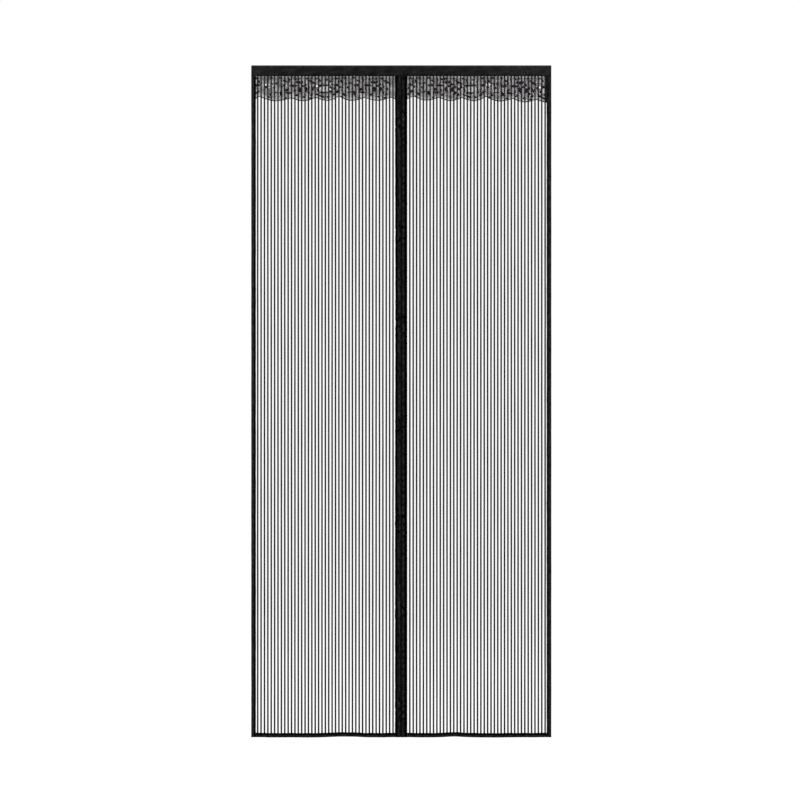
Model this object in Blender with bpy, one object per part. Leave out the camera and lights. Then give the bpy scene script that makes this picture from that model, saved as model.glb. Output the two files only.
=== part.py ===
"""Door insect curtain: two striped net panels that hang from one header and close with magnets.

The curtain hangs in the plane of the door frame. X runs to the right as seen from the front,
Y runs back to the wall and Z runs up. The origin is the middle of the header, on the adhesive
face that sticks to the door frame. All sizes are in metres.
"""

import math

import bmesh
import bpy

# Overall size.
curtain_width = 0.900
curtain_height = 2.018

# Bands and bindings, as they show from the front.
header_height = 0.032
side_binding_width = 0.0123
bottom_binding_height = 0.0126

# Thicknesses.
clearance = 0.0003
ribbon_thickness = 0.0005
net_thickness = 0.0006
net_border_thickness = 0.0004
lace_thickness = 0.0006
hook_tape_thickness = 0.0012
loop_tape_thickness = 0.0010

# Header tape and side patches, set in from the ribbons that carry them.
header_tape_end_inset = 0.010
header_tape_edge_inset = 0.006
patch_inset = 0.0014
patch_height = 0.040
patches_per_side = 4

# Striped net.
stripe_pitch = 0.01016
stripe_width = 0.0046
stripe_bevel = 0.0008
left_stripe_shift = -0.0006
right_stripe_shift = 0.0010
net_slot_cover = 0.0045
net_slot_tuck = 0.0008

# Magnets and the tunnel that they are sewn into.
magnets_per_side = 7
magnet_length = 0.040
magnet_width = 0.010
magnet_thickness = 0.003
magnet_edge = 0.0005
top_magnet_drop = 0.170
second_magnet_drop = 0.509
bottom_magnet_rise = 0.087
magnet_sewing_offsets = (0.0, 0.0, -0.011, -0.007, 0.010, -0.004, 0.0)
tunnel_side_room = 0.0020
tunnel_slope = 0.0020
tunnel_crown = 0.0003
seam_margin = 0.00335
magnet_to_net = 0.0008
empty_tunnel_sink = 0.0010
pinch_sink = 0.0014
magnet_end_room = 0.003
pinch_distance = 0.012

# Lace valance below the header.
scallop_tip_drop = 0.0757
shallow_notch_drop = 0.0670
deep_notch_drop = 0.0620
scallops_per_repeat = 3
medallion_scallop = 2
left_first_notch = 0.0341
left_scallop_widths = (0.0751, 0.0782, 0.0706, 0.0721, 0.0950)
left_deep_notch = 2
right_first_notch = 0.0359
right_scallop_widths = (0.0781, 0.0674, 0.0721, 0.0814, 0.0688)
right_deep_notch = 0
scallop_points = 8
scallop_roundness = 2.2
lace_end_hem = 0.005

# Openings in the lace. Shares are of a scallop's half width, and tilts are in degrees.
leaf_shoulder = 0.4
row_shares = (-0.68, 0.0, 0.68)
row_drop = 0.010
row_hole_length = 0.017
row_hole_width = 0.006
row_tilt = 25.0
fan_shares = (-0.70, -0.36, 0.0, 0.36, 0.70)
fan_edge = 0.0065
fan_hole_length = 0.013
fan_hole_width = 0.0052
fan_tilt = 40.0
motif_share = 0.52
motif_gap = 0.004
petals = 5
petal_start_share = 0.3
petal_hole_width = 0.0052
side_leaf_share = 0.78
side_leaf_length = 0.021
side_leaf_width = 0.006
side_leaf_tilt = 62.0
medallion_slots = 5
medallion_slot_share = 0.29
medallion_slot_width = 0.0064
medallion_roundness = 0.8

# How the side bindings and the tunnels settle below the header and the lace.
binding_ease = 0.002
binding_taper = 0.015

fold_segments = 4
smooth_angle = math.radians(35.0)

# Sizes and heights worked out from the sizes above.
half_width = curtain_width / 2
header_tape_length = curtain_width - 2 * header_tape_end_inset
header_tape_height = header_height - 2 * header_tape_edge_inset
patch_width = side_binding_width - 2 * patch_inset
stripe_flat = stripe_width - 2 * stripe_bevel
top_z = header_height / 2
header_bottom_z = -header_height / 2
bottom_z = top_z - curtain_height

# Layers, as depths in front of the door frame.
loop_tape_back = hook_tape_thickness + clearance
header_back = loop_tape_back + loop_tape_thickness + clearance
cloth_back = header_back + ribbon_thickness + clearance
net_back = cloth_back + ribbon_thickness + clearance
net_front = net_back + net_thickness
lace_back = net_front + clearance
lace_front = lace_back + lace_thickness
header_front = lace_front + clearance + ribbon_thickness + clearance

# Middles of the ribbon plies, as depths.
header_back_ply = header_back + ribbon_thickness / 2
header_front_ply = header_front + ribbon_thickness / 2
back_ply = cloth_back + ribbon_thickness / 2
net_ply = net_front + clearance + ribbon_thickness / 2
lace_ply = lace_front + clearance + ribbon_thickness / 2
magnet_ply = net_back + magnet_thickness + clearance + ribbon_thickness / 2

# Places across the width, measured out from the centre line.
fold_nose = (clearance + ribbon_thickness) / 2
magnet_centre = clearance / 2 + ribbon_thickness + clearance + tunnel_side_room / 2 + magnet_width / 2
tunnel_edge = magnet_centre + magnet_width / 2 + clearance
seam_line = tunnel_edge + tunnel_slope
centre_band_width = seam_line + seam_margin
cloth_inner_edge = magnet_centre + magnet_width / 2 + magnet_to_net
side_fold_radius = (lace_ply - back_ply) / 2
cloth_outer_edge = half_width - ribbon_thickness / 2 - side_fold_radius
side_binding_edge = half_width - side_binding_width

# Heights of the hidden edges and of the lace's lowest point.
header_fold_radius = (header_front_ply - header_back_ply) / 2
tucked_top_z = top_z - ribbon_thickness / 2 - header_fold_radius
bottom_fold_radius = (net_ply - back_ply) / 2
net_bottom_z = bottom_z + ribbon_thickness / 2 + bottom_fold_radius
lace_bottom_z = header_bottom_z - scallop_tip_drop

BLACK_RIBBON = ("black_ribbon", (0.0153, 0.0150, 0.0158), 0.62, 0.0)
BLACK_NET = ("black_net", (0.0130, 0.0125, 0.0135), 0.70, 0.0)
DARK_LACE = ("dark_lace", (0.0190, 0.0165, 0.0200), 0.75, 0.0)
LOOP_PILE = ("loop_pile", (0.0120, 0.0120, 0.0125), 0.95, 0.0)
HOOK_PLASTIC = ("hook_plastic", (0.0200, 0.0200, 0.0205), 0.55, 0.0)
MAGNET_COATING = ("magnet_coating", (0.0600, 0.0600, 0.0620), 0.45, 0.6)


def clear_scene():
    for existing in list(bpy.data.objects):
        bpy.data.objects.remove(existing, do_unlink=True)


def make_material(name, colour, roughness, metallic):
    """A Principled material, made once and shared by every piece of that stuff."""
    if name in bpy.data.materials:
        return bpy.data.materials[name]
    material = bpy.data.materials.new(name)
    material.use_nodes = True
    shader = material.node_tree.nodes["Principled BSDF"]
    shader.inputs["Base Color"].default_value = (*colour, 1.0)
    shader.inputs["Roughness"].default_value = roughness
    shader.inputs["Metallic"].default_value = metallic
    return material


def add_object(name, data, finish):
    """Put a mesh or a curve in the scene under the curtain's empty."""
    if not data.materials:
        data.materials.append(make_material(*finish))
    piece = bpy.data.objects.new(name, data)
    bpy.context.scene.collection.objects.link(piece)
    piece.parent = bpy.data.objects["door_curtain"]
    return piece


def make_mesh(name, vertices, faces):
    """A closed mesh with its faces pointing out and its folds smooth."""
    mesh = bpy.data.meshes.new(name)
    mesh.from_pydata(vertices, [], faces)
    shape = bmesh.new()
    shape.from_mesh(mesh)
    loose = [vertex for vertex in shape.verts if not vertex.link_faces]
    bmesh.ops.delete(shape, geom=loose, context="VERTS")
    bmesh.ops.recalc_face_normals(shape, faces=shape.faces)
    shape.to_mesh(mesh)
    shape.free()
    mesh.shade_smooth()
    mesh.set_sharp_from_angle(angle=smooth_angle)
    return mesh


def make_block(name, size):
    """A block centred on its own origin."""
    mesh = bpy.data.meshes.new(name)
    shape = bmesh.new()
    bmesh.ops.create_cube(shape, size=1.0)
    bmesh.ops.scale(shape, vec=size, verts=shape.verts)
    shape.to_mesh(mesh)
    shape.free()
    return mesh


def offset_points(points, distance):
    """Move an open line of 2D points sideways by a distance, keeping its corners square."""
    moved = []
    last = len(points) - 1
    for i, (a, b) in enumerate(points):
        before = points[max(i - 1, 0)]
        after = points[min(i + 1, last)]
        normals = []
        for start, end in ((before, (a, b)), ((a, b), after)):
            run = (end[0] - start[0], end[1] - start[1])
            length = math.hypot(*run)
            if length > 0:
                normals.append((-run[1] / length, run[0] / length))
        across = (sum(n[0] for n in normals), sum(n[1] for n in normals))
        size = math.hypot(*across)
        unit = (across[0] / size, across[1] / size)
        stretch = unit[0] * normals[0][0] + unit[1] * normals[0][1]
        moved.append((a + unit[0] * distance / stretch, b + unit[1] * distance / stretch))
    return moved


def add_ribbon(name, along, sign, sections, finish):
    """Loft a ribbon through sections, each a station and its line of (across, depth) points.

    The stations run along "x" or "z", and the sign mirrors the ribbon to its side.
    """
    vertices = []
    for station, points in sections:
        outer = offset_points(points, ribbon_thickness / 2)
        inner = offset_points(points, -ribbon_thickness / 2)
        for across, depth in outer + inner[::-1]:
            x, z = (station, across) if along == "x" else (across, station)
            vertices.append((sign * x, -depth, z))
    count = len(sections[0][1])
    loop = 2 * count
    faces = []
    for s in range(len(sections) - 1):
        for i in range(loop):
            j = (i + 1) % loop
            faces.append((s * loop + i, s * loop + j, (s + 1) * loop + j, (s + 1) * loop + i))
    for base in (0, (len(sections) - 1) * loop):
        for i in range(count - 1):
            k = loop - 1 - i
            faces.append((base + i, base + i + 1, base + k - 1, base + k))
    return add_object(name, make_mesh(name, vertices, faces), finish)


def fold_arc(centre, radius, start_degrees, end_degrees):
    """Points along the fold of a ribbon, both ends included."""
    points = []
    for i in range(fold_segments + 1):
        angle = math.radians(start_degrees + (end_degrees - start_degrees) * i / fold_segments)
        points.append((centre[0] + radius * math.cos(angle), centre[1] + radius * math.sin(angle)))
    return points


def interpolate(keys, z):
    """Read a value at height z from (height, value) keys that run downwards."""
    for (high, above), (low, below) in zip(keys, keys[1:]):
        if low <= z <= high:
            return above if high == low else below + (above - below) * (z - low) / (high - low)
    return keys[-1][1]


def front_ply_keys():
    """The flat part of a binding's front ply: proud over the lace, then down on the net."""
    lace_end = lace_bottom_z - binding_ease
    return [(top_z, lace_ply), (lace_end, lace_ply), (lace_end - binding_taper, net_ply), (bottom_z, net_ply)]


def magnet_heights():
    """Heights of the magnets' centres, from the top one down."""
    lowest_drop = curtain_height - bottom_magnet_rise
    drops = [top_magnet_drop]
    spacing = (lowest_drop - second_magnet_drop) / max(magnets_per_side - 2, 1)
    for i in range(magnets_per_side - 1):
        drops.append(second_magnet_drop + spacing * i)
    return [
        top_z - drop - magnet_sewing_offsets[i % len(magnet_sewing_offsets)]
        for i, drop in enumerate(drops)
    ]


def crown_keys():
    """The tunnel's front: flat in the header, full at each magnet and pinched just past it."""
    open_z = header_bottom_z - binding_ease
    empty = magnet_ply - empty_tunnel_sink
    pinched = magnet_ply - pinch_sink
    keys = [(tucked_top_z, lace_ply), (open_z, lace_ply), (open_z - binding_taper, empty)]
    heights = magnet_heights()
    for i, z in enumerate(heights):
        reach = magnet_length / 2 + magnet_end_room
        keys.append((z + reach + pinch_distance, pinched))
        keys.append((z + reach, magnet_ply))
        keys.append((z - reach, magnet_ply))
        keys.append((z - reach - pinch_distance, pinched))
        if i + 1 < len(heights):
            keys.append(((z + heights[i + 1]) / 2, empty))
    keys.append((bottom_z, pinched))
    return keys


def add_header():
    """The header ribbon, folded over the top of every cloth below it."""
    fold = (tucked_top_z, (header_back_ply + header_front_ply) / 2)
    points = [(header_bottom_z, header_back_ply)]
    points += fold_arc(fold, header_fold_radius, -90.0, 90.0)
    points.append((header_bottom_z, header_front_ply))
    sections = [(-half_width, points), (half_width, points)]
    add_ribbon("header_band", "x", 1.0, sections, BLACK_RIBBON)


def add_header_tapes():
    """The loop tape sewn behind the header and the adhesive hook tape on the door frame."""
    tapes = (
        ("header_hook_tape", 0.0, hook_tape_thickness, HOOK_PLASTIC),
        ("header_loop_tape", loop_tape_back, loop_tape_thickness, LOOP_PILE),
    )
    for name, back, thickness, finish in tapes:
        block = make_block(name, (header_tape_length, thickness, header_tape_height))
        tape = add_object(name, block, finish)
        tape.location = (0.0, -(back + thickness / 2), 0.0)


def add_side_patches(side, sign):
    """Loop patches sewn behind the side binding, each on its foam-backed hook patch."""
    loop_back = cloth_back - clearance - loop_tape_thickness
    hook_thickness = loop_back - clearance
    loop_mesh = make_block("loop_patch", (patch_width, loop_tape_thickness, patch_height))
    hook_mesh = make_block("hook_patch", (patch_width, hook_thickness, patch_height))
    x = sign * (half_width - side_binding_width / 2)
    for i in range(patches_per_side):
        z = top_z - curtain_height * (i + 1) / (patches_per_side + 1)
        loop = add_object(f"{side}_loop_patch_{i + 1}", loop_mesh, LOOP_PILE)
        loop.location = (x, -(loop_back + loop_tape_thickness / 2), z)
        hook = add_object(f"{side}_hook_patch_{i + 1}", hook_mesh, HOOK_PLASTIC)
        hook.location = (x, -hook_thickness / 2, z)


def add_side_binding(side, sign):
    """The ribbon folded round the outer edges of the net and the lace."""
    keys = front_ply_keys()
    heights = [tucked_top_z] + [z for z, _ in keys[1:]]
    sections = []
    for z in heights:
        front = interpolate(keys, z)
        radius = (front - back_ply) / 2
        fold = (half_width - ribbon_thickness / 2 - radius, back_ply + radius)
        points = [(side_binding_edge, back_ply)]
        points += fold_arc(fold, radius, -90.0, 90.0)
        points.append((side_binding_edge, front))
        sections.append((z, points))
    add_ribbon(f"{side}_side_binding", "z", sign, sections, BLACK_RIBBON)


def add_centre_band(side, sign):
    """The ribbon folded at the centre line, with the tunnel that holds the magnets."""
    crown = crown_keys()
    flat = front_ply_keys()
    heights = sorted({z for z, _ in crown} | {z for z, _ in flat[1:]}, reverse=True)
    sections = []
    for z in heights:
        front = interpolate(crown, z)
        margin = interpolate(flat, z)
        radius = (front - back_ply) / 2
        fold = (fold_nose + radius, back_ply + radius)
        points = [(centre_band_width, back_ply)]
        points += fold_arc(fold, radius, 270.0, 90.0)
        fullness = (front - lace_ply) / (magnet_ply - lace_ply)
        points.append((magnet_centre, front + tunnel_crown * fullness))
        points.append((tunnel_edge, front))
        points.append((seam_line, margin))
        points.append((centre_band_width, margin))
        sections.append((z, points))
    add_ribbon(f"{side}_centre_band", "z", sign, sections, BLACK_RIBBON)


def add_bottom_binding(side, sign):
    """The ribbon folded round the net's lower edge, between the side binding and the centre band."""
    fold = (net_bottom_z, (back_ply + net_ply) / 2)
    upper = bottom_z + bottom_binding_height
    points = [(upper, back_ply)]
    points += fold_arc(fold, bottom_fold_radius, 270.0, 90.0)
    points.append((upper, net_ply))
    start = centre_band_width + clearance
    end = side_binding_edge - clearance
    add_ribbon(f"{side}_bottom_binding", "x", sign, [(start, points), (end, points)], BLACK_RIBBON)


def add_magnets(side, sign):
    """Bar magnets in the tunnel, each facing its partner on the other panel."""
    mesh = make_block("bar_magnet", (magnet_width, magnet_thickness, magnet_length))
    for i, z in enumerate(magnet_heights()):
        magnet = add_object(f"{side}_magnet_{i + 1}", mesh, MAGNET_COATING)
        magnet.location = (sign * magnet_centre, -(net_back + magnet_thickness / 2), z)
        edges = magnet.modifiers.new("ground_edges", "BEVEL")
        edges.width = magnet_edge
        edges.segments = 1


def stripe_centres(shift, sign):
    """Stripes at even pitch, in the middle of the net that shows."""
    shown = side_binding_edge - centre_band_width
    middle = sign * (centre_band_width + shown / 2) + shift
    count = int(shown / stripe_pitch)
    return [middle + stripe_pitch * (i - (count - 1) / 2) for i in range(count)]


def net_stations(shift, sign):
    """Places across the net with its front depth there, and which cells between them are cloth."""
    border = net_back + net_border_thickness
    left, right = sorted((sign * cloth_inner_edge, sign * cloth_outer_edge))
    inner_bar = sign * (centre_band_width - net_slot_tuck)
    outer_bar = sign * (side_binding_edge + net_slot_tuck)
    first_bar, last_bar = sorted((inner_bar, outer_bar))
    stations = [(left, border), (first_bar, border)]
    solid = [True, False]
    for x in stripe_centres(shift, sign):
        stations += [
            (x - stripe_width / 2, border),
            (x - stripe_flat / 2, net_front),
            (x + stripe_flat / 2, net_front),
            (x + stripe_width / 2, border),
        ]
        solid += [True, True, True, False]
    stations += [(last_bar, border), (right, border)]
    solid.append(True)
    return stations, solid


def add_net(side, sign, shift):
    """One wall of net: a ridge for each stripe and a long slot for each open lane."""
    stations, solid = net_stations(shift, sign)
    levels = (
        net_bottom_z,
        bottom_z + bottom_binding_height - net_slot_cover,
        header_bottom_z + net_slot_cover,
        tucked_top_z,
    )
    count = len(stations)
    vertices = [(x, -depth, z) for z in levels for x, depth in stations]
    vertices += [(x, -net_back, z) for z in levels for x, _ in stations]

    def front(i, j):
        return j * count + i

    def back(i, j):
        return len(levels) * count + j * count + i

    def is_cloth(i, j):
        inside = 0 <= i < count - 1 and 0 <= j < len(levels) - 1
        return inside and (j != 1 or solid[i])

    faces = []
    for j in range(len(levels) - 1):
        for i in range(count - 1):
            if not is_cloth(i, j):
                continue
            faces.append((front(i, j), front(i + 1, j), front(i + 1, j + 1), front(i, j + 1)))
            faces.append((back(i, j + 1), back(i + 1, j + 1), back(i + 1, j), back(i, j)))
            if not is_cloth(i - 1, j):
                faces.append((front(i, j), front(i, j + 1), back(i, j + 1), back(i, j)))
            if not is_cloth(i + 1, j):
                faces.append((front(i + 1, j), back(i + 1, j), back(i + 1, j + 1), front(i + 1, j + 1)))
            if not is_cloth(i, j - 1):
                faces.append((front(i, j), back(i, j), back(i + 1, j), front(i + 1, j)))
            if not is_cloth(i, j + 1):
                faces.append((front(i, j + 1), front(i + 1, j + 1), back(i + 1, j + 1), back(i, j + 1)))
    add_object(f"{side}_net", make_mesh(f"{side}_net", vertices, faces), BLACK_NET)


def scallop_list(first_notch, widths, deep_notch):
    """Scallops from the centre line out: inner end, outer end, drop at each end, and motif."""
    def notch_drop(index):
        deep = (index - deep_notch) % scallops_per_repeat == 0
        return deep_notch_drop if deep else shallow_notch_drop

    scallops = []
    position = first_notch - widths[-1]
    index = -1
    while position < cloth_outer_edge:
        width = widths[index % len(widths)]
        repeat = (index - medallion_scallop) % scallops_per_repeat
        motif = medallion_holes if repeat == 0 else flower_holes
        scallops.append((position, position + width, notch_drop(index), notch_drop(index + 1), motif))
        position += width
        index += 1
    return scallops


def scallop_drop(scallop, x):
    """How far below the header the lace reaches at distance x from the centre line."""
    start, end, start_drop, end_drop, _ = scallop
    share = (x - start) / (end - start)
    line = start_drop + (end_drop - start_drop) * share
    bulge = 1.0 - abs(2.0 * share - 1.0) ** scallop_roundness
    return line + (scallop_tip_drop - line) * bulge


def leaf_hole(x, drop, length, width, tilt):
    """A pointed leaf opening, as six points round its middle."""
    half = length / 2
    shoulder = leaf_shoulder * half
    shape = (
        (half, 0.0),
        (shoulder, width / 2),
        (-shoulder, width / 2),
        (-half, 0.0),
        (-shoulder, -width / 2),
        (shoulder, -width / 2),
    )
    turn = math.radians(tilt)
    return [
        (
            x + a * math.cos(turn) - b * math.sin(turn),
            drop + a * math.sin(turn) + b * math.cos(turn),
        )
        for a, b in shape
    ]


def medallion_holes(middle, drop, reach, radius):
    """Upright slots side by side that fill an oval."""
    holes = []
    last = (medallion_slots - 1) / 2
    for i in range(medallion_slots):
        offset = i - last
        height = 2 * radius * math.sqrt(1.0 - medallion_roundness * (offset / last) ** 2)
        x = middle + medallion_slot_share * reach * offset
        holes.append(leaf_hole(x, drop, height, medallion_slot_width, 90.0))
    return holes


def flower_holes(middle, drop, reach, radius):
    """Petal openings round a flower's eye, with a leaf opening on each side of it."""
    holes = []
    start = petal_start_share * radius
    for i in range(petals):
        tilt = 360.0 * i / petals - 90.0
        turn = math.radians(tilt)
        away = (start + radius) / 2
        x = middle + away * math.cos(turn)
        holes.append(leaf_hole(x, drop + away * math.sin(turn), radius - start, petal_hole_width, tilt))
    for sign in (-1.0, 1.0):
        x = middle + sign * side_leaf_share * reach
        holes.append(leaf_hole(x, drop, side_leaf_length, side_leaf_width, sign * side_leaf_tilt))
    return holes


def scallop_holes(scallop):
    """The openings of one scallop: a row under the header, a motif, and a fan along the edge."""
    start, end, _, _, motif = scallop
    middle = (start + end) / 2
    reach = (end - start) / 2
    holes = []
    for share in row_shares:
        x = middle + share * reach
        holes.append(leaf_hole(x, row_drop, row_hole_length, row_hole_width, row_tilt * share))
    for share in fan_shares:
        x = middle + share * reach
        drop = scallop_drop(scallop, x) - fan_edge - fan_hole_length / 2
        holes.append(leaf_hole(x, drop, fan_hole_length, fan_hole_width, 90.0 - fan_tilt * share))
    row_end = row_drop + row_hole_width / 2
    fan_start = scallop_tip_drop - fan_edge - fan_hole_length
    radius = min(motif_share * reach, (fan_start - row_end) / 2 - motif_gap)
    return holes + motif(middle, (row_end + fan_start) / 2, reach, radius)


def lace_outline(scallops):
    """The lace's edge as (distance from the centre line, drop), with its scallops below."""
    hidden_drop = header_bottom_z - tucked_top_z
    points = [(cloth_outer_edge, hidden_drop), (cloth_inner_edge, hidden_drop)]
    lower = []
    for scallop in scallops:
        start, end = scallop[0], scallop[1]
        for i in range(scallop_points):
            x = start + (end - start) * i / scallop_points
            if cloth_inner_edge < x < cloth_outer_edge:
                lower.append((x, scallop_drop(scallop, x)))
    inner = [s for s in scallops if s[0] <= cloth_inner_edge < s[1]][0]
    outer = [s for s in scallops if s[0] < cloth_outer_edge <= s[1]][0]
    points.append((cloth_inner_edge, scallop_drop(inner, cloth_inner_edge)))
    points += lower
    points.append((cloth_outer_edge, scallop_drop(outer, cloth_outer_edge)))
    return points


def add_lace(side, sign, scallops, end_hem):
    """The scalloped lace valance, cut as one sheet with its openings."""
    low = centre_band_width + binding_ease
    high = side_binding_edge - binding_ease - end_hem
    outlines = [lace_outline(scallops)]
    for scallop in scallops:
        for hole in scallop_holes(scallop):
            if low < min(x for x, _ in hole) and max(x for x, _ in hole) < high:
                outlines.append(hole)
    sheet = bpy.data.curves.new(f"{side}_lace", "CURVE")
    sheet.dimensions = "2D"
    sheet.fill_mode = "BOTH"
    sheet.extrude = lace_thickness / 2
    for outline in outlines:
        spline = sheet.splines.new("POLY")
        spline.points.add(len(outline) - 1)
        for point, (x, drop) in zip(spline.points, outline):
            point.co = (sign * x, header_bottom_z - drop, 0.0, 1.0)
        spline.use_cyclic_u = True
    lace = add_object(f"{side}_lace", sheet, DARK_LACE)
    lace.rotation_euler = (math.radians(90.0), 0.0, 0.0)
    lace.location = (0.0, -(lace_back + lace_thickness / 2), 0.0)


def build_curtain():
    clear_scene()
    frame = bpy.data.objects.new("door_curtain", None)
    bpy.context.scene.collection.objects.link(frame)
    add_header()
    add_header_tapes()
    sides = (
        ("left", -1.0, left_stripe_shift, left_first_notch, left_scallop_widths, left_deep_notch, 0.0),
        (
            "right",
            1.0,
            right_stripe_shift,
            right_first_notch,
            right_scallop_widths,
            right_deep_notch,
            lace_end_hem,
        ),
    )
    for side, sign, shift, first_notch, widths, deep_notch, end_hem in sides:
        add_net(side, sign, shift)
        add_lace(side, sign, scallop_list(first_notch, widths, deep_notch), end_hem)
        add_side_binding(side, sign)
        add_centre_band(side, sign)
        add_bottom_binding(side, sign)
        add_magnets(side, sign)
        add_side_patches(side, sign)


build_curtain()
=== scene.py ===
# %% [markdown]
# # A door insect curtain
# Two striped net panels hang from one header. Each is bound with black ribbon, and where they meet
# the ribbon is folded into a tunnel for small bar magnets. A scalloped lace valance hangs over the
# top of the net. The solids in the frame give every size. Here each cloth is made again with its
# threads, folds and seams, in the space that its solid holds.

# %% Load the frame
import math

import bpy
import numpy as np
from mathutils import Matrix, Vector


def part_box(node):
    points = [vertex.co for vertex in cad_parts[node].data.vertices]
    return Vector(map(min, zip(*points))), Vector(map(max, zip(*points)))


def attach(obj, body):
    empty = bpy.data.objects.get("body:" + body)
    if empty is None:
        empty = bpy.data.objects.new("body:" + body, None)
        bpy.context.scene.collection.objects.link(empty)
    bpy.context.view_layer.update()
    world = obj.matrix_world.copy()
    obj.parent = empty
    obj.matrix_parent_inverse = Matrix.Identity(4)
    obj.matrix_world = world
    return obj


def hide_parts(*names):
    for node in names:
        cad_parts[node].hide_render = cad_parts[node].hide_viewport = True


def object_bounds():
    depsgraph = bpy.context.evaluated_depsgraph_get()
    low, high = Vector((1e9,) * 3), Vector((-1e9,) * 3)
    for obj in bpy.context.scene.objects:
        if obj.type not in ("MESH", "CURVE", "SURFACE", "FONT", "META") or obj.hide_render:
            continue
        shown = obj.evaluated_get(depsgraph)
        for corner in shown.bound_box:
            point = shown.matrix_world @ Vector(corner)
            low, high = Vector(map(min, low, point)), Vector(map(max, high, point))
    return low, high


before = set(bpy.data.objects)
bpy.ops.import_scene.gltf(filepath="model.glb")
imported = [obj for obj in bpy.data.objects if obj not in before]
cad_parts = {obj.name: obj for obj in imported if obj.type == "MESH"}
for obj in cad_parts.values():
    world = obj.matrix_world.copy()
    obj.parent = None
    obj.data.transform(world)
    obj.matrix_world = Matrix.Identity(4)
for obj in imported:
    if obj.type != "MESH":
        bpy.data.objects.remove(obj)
cad_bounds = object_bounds()
print("pieces in the frame:", len(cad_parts))

# %% [markdown]
# ## Camera and light
# The photograph was taken square on from far away, so a long lens stands nearly seven metres off.
# The background is pure white. The world and the floor could be lit until they burn out, but that
# would wash out the cloth too, so they glow white for the camera alone and light the curtain gently.

# %% Camera
picture_width = 800
curtain_metres = 0.900
curtain_pixels = 299.7
metres_per_pixel = curtain_metres / curtain_pixels
lens = 100.0
sensor = 36.0
camera_distance = metres_per_pixel * picture_width * lens / sensor
camera_x = -0.00406
camera_z = -0.9892
cloth_plane = -0.006

camera_data = bpy.data.cameras.new("camera")
camera_data.lens = lens
camera_data.sensor_width = sensor
camera = bpy.data.objects.new("camera", camera_data)
camera.location = (camera_x, cloth_plane - camera_distance, camera_z)
camera.rotation_euler = (math.radians(90.0), 0.0, 0.0)
bpy.context.scene.collection.objects.link(camera)
bpy.context.scene.camera = camera
bpy.context.scene.view_settings.view_transform = "Standard"
print("camera stands", round(camera_distance, 3), "m in front")


# %% Node helpers
def add_node(tree, kind, **settings):
    """A new shader node, with inputs given as in_NAME and properties by their own names."""
    node = tree.nodes.new(kind)
    for name, value in settings.items():
        if name.startswith("in_"):
            node.inputs[name[3:].replace("_", " ")].default_value = value
        else:
            setattr(node, name, value)
    return node


def seen_directly(tree):
    """1 for rays that show the background itself: camera, mirror and glass rays."""
    path = add_node(tree, "ShaderNodeLightPath")
    total = path.outputs["Is Camera Ray"]
    for name in ("Is Glossy Ray", "Is Transmission Ray"):
        larger = add_node(tree, "ShaderNodeMath", operation="MAXIMUM")
        tree.links.new(total, larger.inputs[0])
        tree.links.new(path.outputs[name], larger.inputs[1])
        total = larger.outputs[0]
    return total


def mix_shaders(tree, share, first, second):
    """A mix that shows the first shader at share 0 and the second at share 1."""
    mix = add_node(tree, "ShaderNodeMixShader")
    tree.links.new(share, mix.inputs[0])
    tree.links.new(first.outputs[0], mix.inputs[1])
    tree.links.new(second.outputs[0], mix.inputs[2])
    return mix


# %% White world
world_light = 0.46
world = bpy.data.worlds.new("studio")
world.use_nodes = True
bpy.context.scene.world = world
sky = world.node_tree
sky.nodes.clear()
backdrop = add_node(sky, "ShaderNodeBackground", in_Color=(1, 1, 1, 1), in_Strength=1.0)
ambient = add_node(sky, "ShaderNodeBackground", in_Color=(1, 1, 1, 1), in_Strength=world_light)
choose = mix_shaders(sky, seen_directly(sky), ambient, backdrop)
sky_out = add_node(sky, "ShaderNodeOutputWorld")
sky.links.new(choose.outputs[0], sky_out.inputs["Surface"])


# %% Lamps: place, size and power of each
lamps = {
    "key": ((-2.6, -4.2, 1.9), 1.6, 150.0),
    "fill": ((3.4, -4.0, -0.6), 2.6, 42.0),
    "back": ((0.6, 4.6, 1.2), 2.6, 60.0),
}


def add_lamp(name, place, target, size, power):
    """A soft square lamp at a place, turned to its target."""
    data = bpy.data.lights.new(name, "AREA")
    data.shape = "SQUARE"
    data.size = size
    data.energy = power
    lamp = bpy.data.objects.new(name, data)
    bpy.context.scene.collection.objects.link(lamp)
    lamp.location = place
    away = np.array(place) - np.array(target)
    flat = math.hypot(away[0], away[1])
    lamp.rotation_euler = (math.atan2(flat, away[2]), 0.0, math.atan2(away[0], -away[1]))
    return lamp


middle = (0.0, 0.0, -0.99)
for name, (place, size, power) in lamps.items():
    add_lamp(name, place, middle, size, power)

# %% [markdown]
# The floor is plain pale paper that keeps a shadow. From below it would hide the whole curtain, so
# its underside is clear.

# %% Floor
floor_drop = 0.30
floor_size = 9.0
floor_glow = 0.93
floor_z = cad_bounds[0][2] - floor_drop
floor_mesh = bpy.data.meshes.new("floor")
floor_mesh.from_pydata(
    [(x * floor_size, y * floor_size, floor_z) for x, y in ((-1, -1), (1, -1), (1, 1), (-1, 1))],
    [],
    [(0, 1, 2, 3)],
)
floor = bpy.data.objects.new("floor", floor_mesh)
bpy.context.scene.collection.objects.link(floor)
paper = bpy.data.materials.new("white_paper")
paper.use_nodes = True
tree = paper.node_tree
tree.nodes.clear()
matt = add_node(tree, "ShaderNodeBsdfDiffuse", in_Color=(0.8, 0.8, 0.8, 1))
glow = add_node(tree, "ShaderNodeEmission", in_Color=(1, 1, 1, 1), in_Strength=floor_glow)
faint = add_node(tree, "ShaderNodeBsdfDiffuse", in_Color=(0.16, 0.16, 0.16, 1))
lit = add_node(tree, "ShaderNodeAddShader")
tree.links.new(glow.outputs[0], lit.inputs[0])
tree.links.new(faint.outputs[0], lit.inputs[1])
choose = mix_shaders(tree, seen_directly(tree), matt, lit)
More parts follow.
